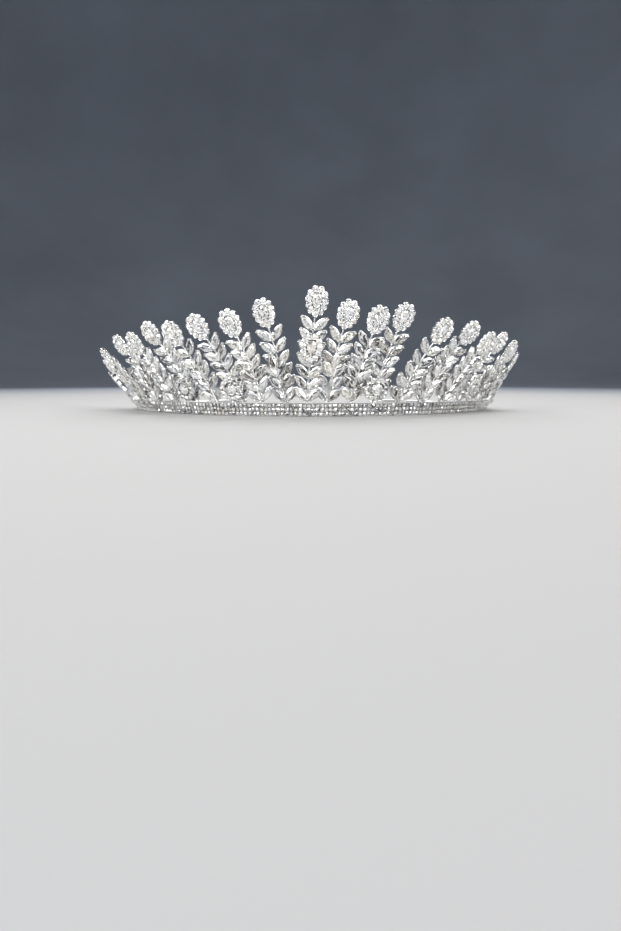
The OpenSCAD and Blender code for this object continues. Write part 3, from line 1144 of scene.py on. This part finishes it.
class Kit:
    """The sizes, the finishes and the repeated shapes that the pieces are put together from."""

    LEAF_FILL = 0.98  # share of the room in its cup that a leaf stone takes up lengthwise
    BAND_FILL = 0.86  # share of the distance between the rows that a band stone takes up
    PETAL_WALLS = 0.42  # how much wider than its stone a petal's cup is

    def __init__(self, context):
        self.band, self.branch, self.flower = band, branch, flower = sizes(context)
        self.castings = finishes(context)["castings"]
        self.crystal = finishes(context)["stones"]
        leaf_l = (branch.leaf_l - 2 * branch.wall) * self.LEAF_FILL
        shapes = {
            "leaf_cup": (leaf_cup, branch),
            "petal_cup": (petal_cup, flower.petal_d),
            "rosette_cup": (petal_cup, flower.rosette_petal_d),
            "pear_cup": (pear_cup, flower),
            "centre_cup": (centre_cup, flower.rosette_stone),
            "grain": (bead, 0.23),
            "halo_grain": (bead, 0.30),
            "band_grain": (bead, 0.22),
            "claw": (bead, 0.24, 1.5, 1.2),
            "leaf_stone": (leaf_stone, leaf_l, branch.leaf_w - 2 * branch.wall),
            "pear_stone": (pear_stone, flower.pear_w, flower.pear_l),
            "petal_stone": (round_stone, flower.petal_d - self.PETAL_WALLS),
            "rosette_petal_stone": (round_stone, flower.rosette_petal_d - self.PETAL_WALLS),
            "centre_stone": (centre_stone, flower.rosette_stone),
            "band_stone": (round_stone, field_pitch(band) * self.BAND_FILL),
            "loop_stone": (round_stone, band.loop_stone),
        }
        for name, (build, *args) in shapes.items():
            setattr(self, name, new_template(build, *args))


# Operators


class TIARA_OT_hoop(bpy.types.Operator):
    """Builds the round wire hoop, open at the back"""
    bl_idname = "tiara.hoop"
    bl_label = "Hoop"

    SIDES = 16
    STEPS = 160  # steps round the hoop
    END_STEPS = 5  # steps of each round end

    def execute(self, context):
        work = Work()
        wire(work.bm, self.places(sizes(context)[0]), self.SIDES)
        work.finish("hoop_wire", METAL, finishes(context)["wire"], ["hoop"])
        return {"FINISHED"}

    def places(self, band):
        """Places along the wire. Past each end they get smaller, like the rings of a half ball."""
        wire_r = band.hoop_wire / 2
        past = [pi / 2 * step / self.END_STEPS for step in range(1, self.END_STEPS)]
        stops = [(-band.hoop_reach, -a) for a in reversed(past)]
        stops += [(band.hoop_reach * (2 * i / self.STEPS - 1), 0) for i in range(self.STEPS + 1)]
        stops += [(band.hoop_reach, a) for a in past]
        return [turned(angle) @ moved(wire_r * sin(a), wire_r - band.hoop_d / 2, wire_r)
                @ turned(pi / 2, "Y") @ Matrix.Scale(wire_r * cos(a), 4) for angle, a in stops]


class TIARA_OT_band(bpy.types.Operator):
    """Builds the paved band with its end loops"""
    bl_idname = "tiara.band"
    bl_label = "Band"

    def execute(self, context):
        kit = Kit(context)
        work = Work()
        stones = Work()
        work.stamp(new_template(bent_bar, kit.band), Matrix())
        pave_band(work, stones, kit)
        build_loop(work, stones, kit, -1, kit.band.loop_left)
        build_loop(work, stones, kit, 1, kit.band.loop_right)
        work.finish("band_setting", METAL, kit.castings, ["band"])
        piece = stones.finish("band_stones", STONE, kit.crystal)
        add_painted_light(stones, piece, SEED)
        return {"FINISHED"}


class TIARA_OT_branches(bpy.types.Operator):
    """Builds the metal of every branch and spray"""
    bl_idname = "tiara.branches"
    bl_label = "Branches"

    def execute(self, context):
        kit = Kit(context)
        for b in all_branches():
            work = Work()
            build_branch(work, kit, b, b.stand(kit))
            work.finish(b.node + "_casting", METAL, kit.castings, [b.node])
        return {"FINISHED"}


class TIARA_OT_rosettes(bpy.types.Operator):
    """Builds the low rosettes between the branches"""
    bl_idname = "tiara.rosettes"
    bl_label = "Rosettes"

    def execute(self, context):
        kit = Kit(context)
        stones = Work()
        for name, angle, slant in ROSETTES:
            work = Work()
            build_rosette(work, stones, kit, stand(kit, radians(angle), radians(slant), 0, 1))
            work.finish(f"rosette_{name}_casting", METAL, kit.castings, [f"rosette_{name}"])
        piece = stones.finish("rosette_stones", STONE, kit.crystal)
        add_painted_light(stones, piece, SEED + 1)
        return {"FINISHED"}


class TIARA_OT_stones(bpy.types.Operator):
    """Sets the leaf, pear and petal stones of the branches and sprays"""
    bl_idname = "tiara.stones"
    bl_label = "Stones"

    def execute(self, context):
        kit = Kit(context)
        petals = petal_places(kit.flower)
        middle = moved(0, kit.branch.leaf_l / 2, GIRDLE)
        for k, (name, first, end) in enumerate(STONE_GROUPS):
            large = Work()
            small = Work()
            for b in all_branches():
                if not radians(first) <= b.angle < radians(end):
                    continue
                place = b.stand(kit)
                for leaf in b.leaves(kit.branch):
                    large.stamp(kit.leaf_stone, place @ leaf @ middle)
                for f in b.flowers():
                    large.stamp(kit.pear_stone, place @ lifted(f, PEAR_GIRDLE))
                    for p in petals:
                        small.stamp(kit.petal_stone, place @ f @ moved(p.x, p.y, PETAL_GIRDLE))
            piece = large.finish(f"leaf_stones_{name}", STONE, kit.crystal, [f"stones_{name}"])
            # the pear stones are painted lighter
            add_painted_light(large, piece, SEED + 10 + k, [kit.pear_stone])
            piece = small.finish(f"petal_stones_{name}", STONE, kit.crystal)
            # the petal stones are painted lighter
            add_painted_light(small, piece, SEED + 20 + k, [kit.petal_stone])
        return {"FINISHED"}


class TIARA_OT_stage(bpy.types.Operator):
    """Builds the floor, the backdrop, the lights and the camera"""
    bl_idname = "tiara.stage"
    bl_label = "Stage"

    WALL_R = 1.4  # radius of the round backdrop, whose curve starts outside the lights
    WALL_H = 1.5
    FADE = (0.22, 0.62)  # distances from the tiara between which the pale floor fades
    AIM = Vector((0, 0, 0.02))  # the point that the lamps are turned to

    # Soft square lamps: name, place, size, power
    LAMPS = [
        ("key", (-0.38, -0.50, 0.26), 0.36, 1.078),
        ("fill", (0.46, -0.42, 0.22), 0.34, 0.686),
        ("top", (0.05, -0.05, 0.75), 0.45, 0.49),
        ("back_left", (-0.30, 0.40, 0.62), 0.36, 0.588),
        ("back_right", (0.34, 0.36, 0.60), 0.36, 0.588),
        ("rear", (0.02, 0.58, 0.30), 0.50, 0.392),
    ]
    LAMP_SPREAD = radians(100)
    # Small round lamps that make the stones sparkle: name, place
    SPARKS = [
        ("spark_left", (-0.14, -0.50, 0.16)),
        ("spark_right", (0.20, -0.46, 0.26)),
        ("spark_side", (-0.52, -0.06, 0.22)),
        ("spark_back", (-0.22, 0.50, 0.24)),
        ("spark_far", (0.52, 0.12, 0.18)),
    ]
    SPARK_SIZE = 0.03
    SPARK_POWER = 0.132

    PHOTO_H = 931  # height of the photograph in pixels
    FOCAL = 622  # focal length in its pixels
    SENSOR = 36
    EYE = (0.0066, -0.2950, 0.014)
    PITCH = radians(-8.1)
    TURN = radians(1.4)

    def execute(self, context):
        self.backdrop(context)
        self.lights(context)
        self.camera(context)
        context.scene.view_settings.view_transform = "Standard"
        context.scene.view_settings.look = "None"
        return {"FINISHED"}

    def backdrop(self, context):
        """A round floor that curves up into a wall, so that every side has the same background."""
        bm = bmesh.new()
        bend = self.WALL_R / 2
        foot = bmesh.ops.create_vert(bm, co=(bend, 0, 0))["vert"]
        cove = spun(bm, foot, (bend, 0, bend), (0, -1, 0), pi / 2, steps=12)
        for end, co in ((foot, (0, 0, 0)), (only(cove, BMVert), (self.WALL_R, 0, self.WALL_H))):
            bmesh.ops.contextual_create(bm, geom=end + bmesh.ops.create_vert(bm, co=co)["vert"])
        spun(bm, bm.verts[:] + bm.edges[:], (0, 0, 0), (0, 0, 1), 2 * pi, steps=96, merge=True)
        bmesh.ops.remove_doubles(bm, verts=bm.verts[:], dist=1e-5)
        outwards(bm)
        bmesh.ops.reverse_faces(bm, faces=bm.faces[:])
        mesh = bpy.data.meshes.new("backdrop")
        bm.to_mesh(mesh)
        bm.free()
        mesh.shade_smooth()
        mesh.materials.append(self.paper(context.scene.tiara_look))
        obj = bpy.data.objects.new("backdrop", mesh)
        context.scene.collection.objects.link(obj)

    def paper(self, look):
        """Pale round the tiara, and cloudy and darker further out and up the wall."""
        n = Nodes("studio_paper")
        far = n.vector("LENGTH", n.vector("MULTIPLY", n.coordinates(), (1.0, 1.0, 1.6)), output="Value")
        cloud = n.noise(scale=5.0, detail=4.0)
        fade = n.share(far + 0.04 * cloud, *self.FADE, interpolation_type="SMOOTHSTEP")
        wall = n.mix(cloud, darker(look.backdrop, 0.8), darker(look.backdrop, 1.25))
        return n.shade(Base_Color=n.mix(fade, look.floor, wall), Roughness=0.9, Specular_IOR_Level=0.2)

    def lights(self, context):
        world = bpy.data.worlds.new("studio")
        context.scene.world = world
        world.use_nodes = True
        background = world.node_tree.nodes["Background"]
        background.inputs["Color"].default_value = (0.56, 0.57, 0.58, 1)
        background.inputs["Strength"].default_value = 0.34
        for name, place, size, power in self.LAMPS:
            self.lamp(context, name, place, energy=power, size=size, shape="SQUARE", spread=self.LAMP_SPREAD)
        for name, place in self.SPARKS:
            self.lamp(context, name, place, energy=self.SPARK_POWER, size=self.SPARK_SIZE, shape="DISK",
                      spread=pi)

    def lamp(self, context, name, place, **settings):
        """An area lamp that the camera doesn't see."""
        data = bpy.data.lights.new(name, "AREA")
        for setting, value in settings.items():
            setattr(data, setting, value)
        lamp = bpy.data.objects.new(name, data)
        lamp.location = place
        lamp.rotation_euler = (self.AIM - lamp.location).to_track_quat("-Z", "Y").to_euler()
        lamp.visible_camera = False
        context.scene.collection.objects.link(lamp)

    def camera(self, context):
        data = bpy.data.cameras.new("camera")
        data.sensor_width = self.SENSOR
        data.lens = self.FOCAL * self.SENSOR / self.PHOTO_H
        data.clip_start = 0.01
        eye = bpy.data.objects.new("camera", data)
        eye.location = self.EYE
        eye.rotation_euler = (pi / 2 + self.PITCH, 0, self.TURN)
        context.scene.collection.objects.link(eye)
        context.scene.camera = eye


class TIARA_PT_panel(bpy.types.Panel):
    """Lists the steps that build the tiara"""
    bl_label = "Bridal tiara"
    bl_idname = "TIARA_PT_panel"
    bl_space_type = "VIEW_3D"
    bl_region_type = "UI"
    bl_category = "Tiara"

    def draw(self, context):
        for group in GROUPS:
            box = self.layout.box()
            owner = getattr(context.scene, group)
            for prop in owner.bl_rna.properties:
                if not prop.is_readonly and prop.identifier != "name":
                    box.prop(owner, prop.identifier)
        for operator in STEPS:
            self.layout.operator(operator.bl_idname)


GROUPS = {
    "tiara_band": BandSizes,
    "tiara_branch": BranchSizes,
    "tiara_flower": FlowerSizes,
    "tiara_look": Finishes,
}
STEPS = [
    TIARA_OT_stage,
    TIARA_OT_hoop,
    TIARA_OT_band,
    TIARA_OT_branches,
    TIARA_OT_rosettes,
    TIARA_OT_stones,
]


def register():
    for cls in [*GROUPS.values(), *STEPS, TIARA_PT_panel]:
        bpy.utils.register_class(cls)
    for name, group in GROUPS.items():
        setattr(bpy.types.Scene, name, bpy.props.PointerProperty(type=group))


def unregister():
    for name in GROUPS:
        delattr(bpy.types.Scene, name)
    for cls in reversed([*GROUPS.values(), *STEPS, TIARA_PT_panel]):
        bpy.utils.unregister_class(cls)


def main():
    register()
    bpy.ops.tiara.stage()
    bpy.ops.tiara.hoop()
    bpy.ops.tiara.band()
    bpy.ops.tiara.branches()
    bpy.ops.tiara.rosettes()
    bpy.ops.tiara.stones()


if __name__ == "__main__":
    main()
